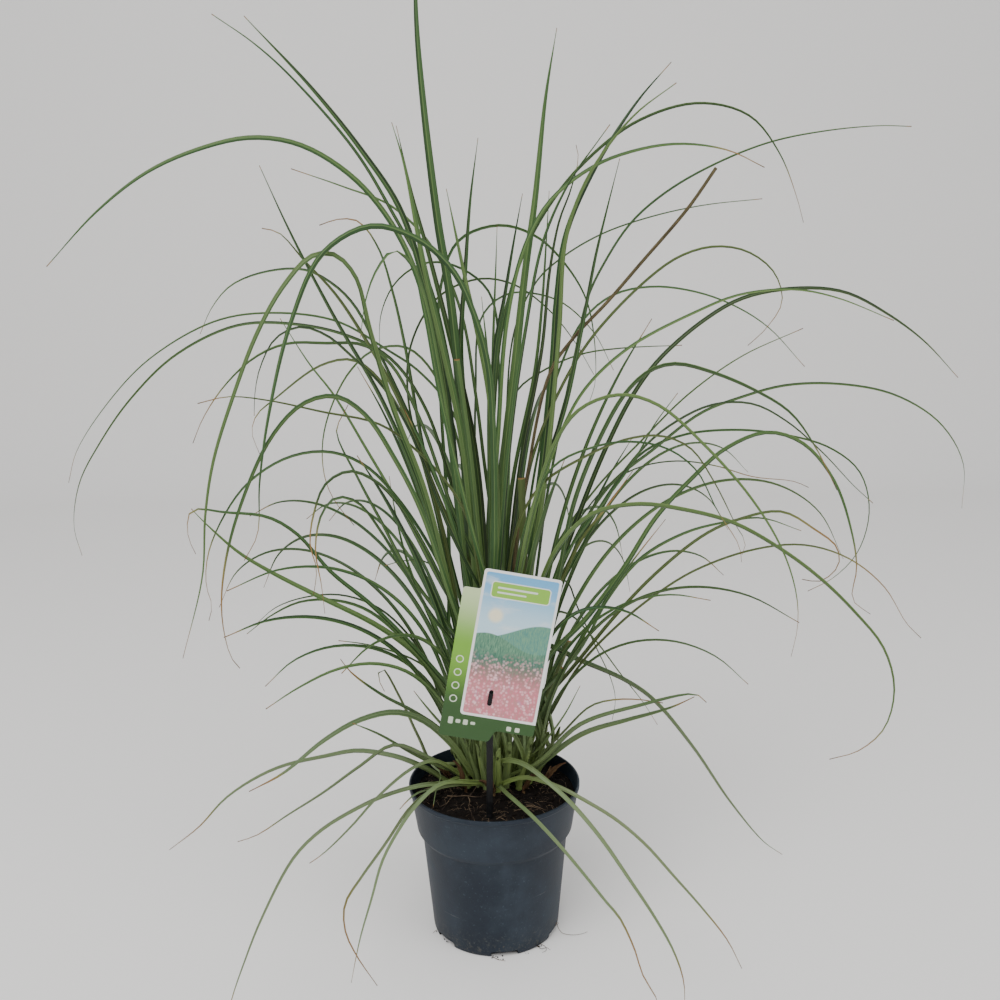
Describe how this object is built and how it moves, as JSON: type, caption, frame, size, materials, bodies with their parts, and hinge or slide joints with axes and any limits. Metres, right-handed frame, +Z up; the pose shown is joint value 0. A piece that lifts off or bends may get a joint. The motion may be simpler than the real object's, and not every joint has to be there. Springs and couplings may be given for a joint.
{
  "type": "pampas grass plant",
  "caption": "Clump of long arching green grass blades in a round dark nursery pot, with soil, dry sheaths and a flat picture label on a stake.",
  "frame": {"origin": "centre of the pot's underside", "axes": "+Z up along the pot's axis; -Y is the front, where the label faces; +X to the right seen from the front"},
  "size_m": [0.947, 0.725, 0.9724],
  "materials": {
    "pot": "matt, faintly dusty",
    "soil": "rough, fibrous",
    "label": "printed, satin",
    "stake": "matt",
    "green_leaf": "fibrous leaf, satin",
    "dry_leaf": "dry leaf, matt"
  },
  "bodies": {
    "root": {"dry_leaf": "dry_leaf", "dry_sheath_01": "dry_leaf", "dry_sheath_02": "dry_leaf", "dry_sheath_03": "dry_leaf", "dry_sheath_04": "dry_leaf", "dry_sheath_05": "dry_leaf", "label_stake": "stake", "plant_label": "label", "pot": "pot", "shoot_01": "green_leaf", "shoot_02": "green_leaf", "shoot_03": "green_leaf", "shoot_04": "green_leaf", "shoot_05": "green_leaf", "shoot_06": "green_leaf", "shoot_07": "green_leaf", "shoot_08": "green_leaf", "shoot_09": "green_leaf", "shoot_10": "green_leaf", "shoot_11": "green_leaf", "shoot_12": "green_leaf", "shoot_13": "green_leaf", "shoot_14": "green_leaf", "shoot_15": "green_leaf", "shoot_16": "green_leaf", "shoot_17": "green_leaf", "shoot_18": "green_leaf", "shoot_19": "green_leaf", "shoot_20": "green_leaf", "shoot_21": "green_leaf", "shoot_22": "green_leaf", "shoot_23": "green_leaf", "shoot_24": "green_leaf", "shoot_25": "green_leaf", "shoot_26": "green_leaf", "shoot_27": "green_leaf", "shoot_28": "green_leaf", "shoot_29": "green_leaf", "shoot_30": "green_leaf", "shoot_31": "green_leaf", "shoot_32": "green_leaf", "shoot_33": "green_leaf", "shoot_34": "green_leaf", "shoot_35": "green_leaf", "shoot_36": "green_leaf", "shoot_37": "green_leaf", "shoot_38": "green_leaf", "soil": "soil"}
  },
  "joints": []
}
